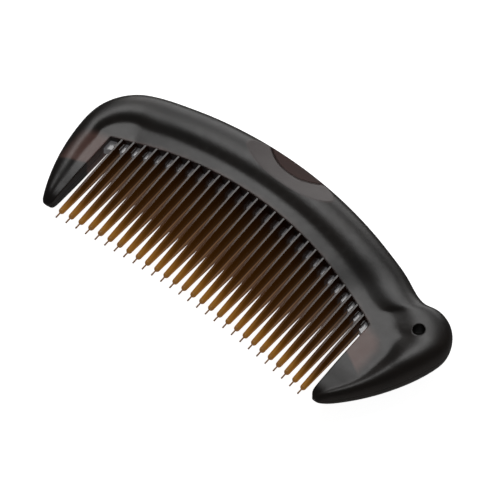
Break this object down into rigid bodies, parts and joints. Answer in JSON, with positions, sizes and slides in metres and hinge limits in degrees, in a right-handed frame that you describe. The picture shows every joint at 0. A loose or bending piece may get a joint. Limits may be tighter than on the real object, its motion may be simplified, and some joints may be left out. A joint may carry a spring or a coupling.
{
  "type": "beard comb",
  "caption": "Thick arched beard comb: dark two-shell handle with guards at both ends, a hanging hole in the rounded head, an oval spine inlay and keyed translucent teeth with fine nib tips.",
  "frame": {"origin": "bottom centre of the bounding box, with the comb lying flat on its back shell", "axes": "+X along the handle towards the hanging hole, +Y from the tooth tips to the spine, +Z through the thickness, out of the front shell"},
  "size_m": [0.1455, 0.0638, 0.0178],
  "materials": {
    "handle_resin": "satin dark brown-black horn-like resin",
    "tooth_resin": "polished translucent amber resin, darker towards the root",
    "strip_resin": "smooth brown resin",
    "inlay_resin": "satin warm brown resin, plain",
    "adhesive": "thin foam adhesive, hidden"
  },
  "bodies": {
    "root": {"handle_front_shell": "handle_resin", "handle_back_shell": "handle_resin", "root_strip": "strip_resin", "tooth_01": "tooth_resin", "tooth_02": "tooth_resin", "tooth_03": "tooth_resin", "tooth_04": "tooth_resin", "tooth_05": "tooth_resin", "tooth_06": "tooth_resin", "tooth_07": "tooth_resin", "tooth_08": "tooth_resin", "tooth_09": "tooth_resin", "tooth_10": "tooth_resin", "tooth_11": "tooth_resin", "tooth_12": "tooth_resin", "tooth_13": "tooth_resin", "tooth_14": "tooth_resin", "tooth_15": "tooth_resin", "tooth_16": "tooth_resin", "tooth_17": "tooth_resin", "tooth_18": "tooth_resin", "tooth_19": "tooth_resin", "tooth_20": "tooth_resin", "tooth_21": "tooth_resin", "tooth_22": "tooth_resin", "tooth_23": "tooth_resin", "tooth_24": "tooth_resin", "tooth_25": "tooth_resin", "tooth_26": "tooth_resin", "tooth_27": "tooth_resin", "tooth_28": "tooth_resin", "inlay_pad": "adhesive", "spine_inlay": "inlay_resin"}
  },
  "joints": []
}
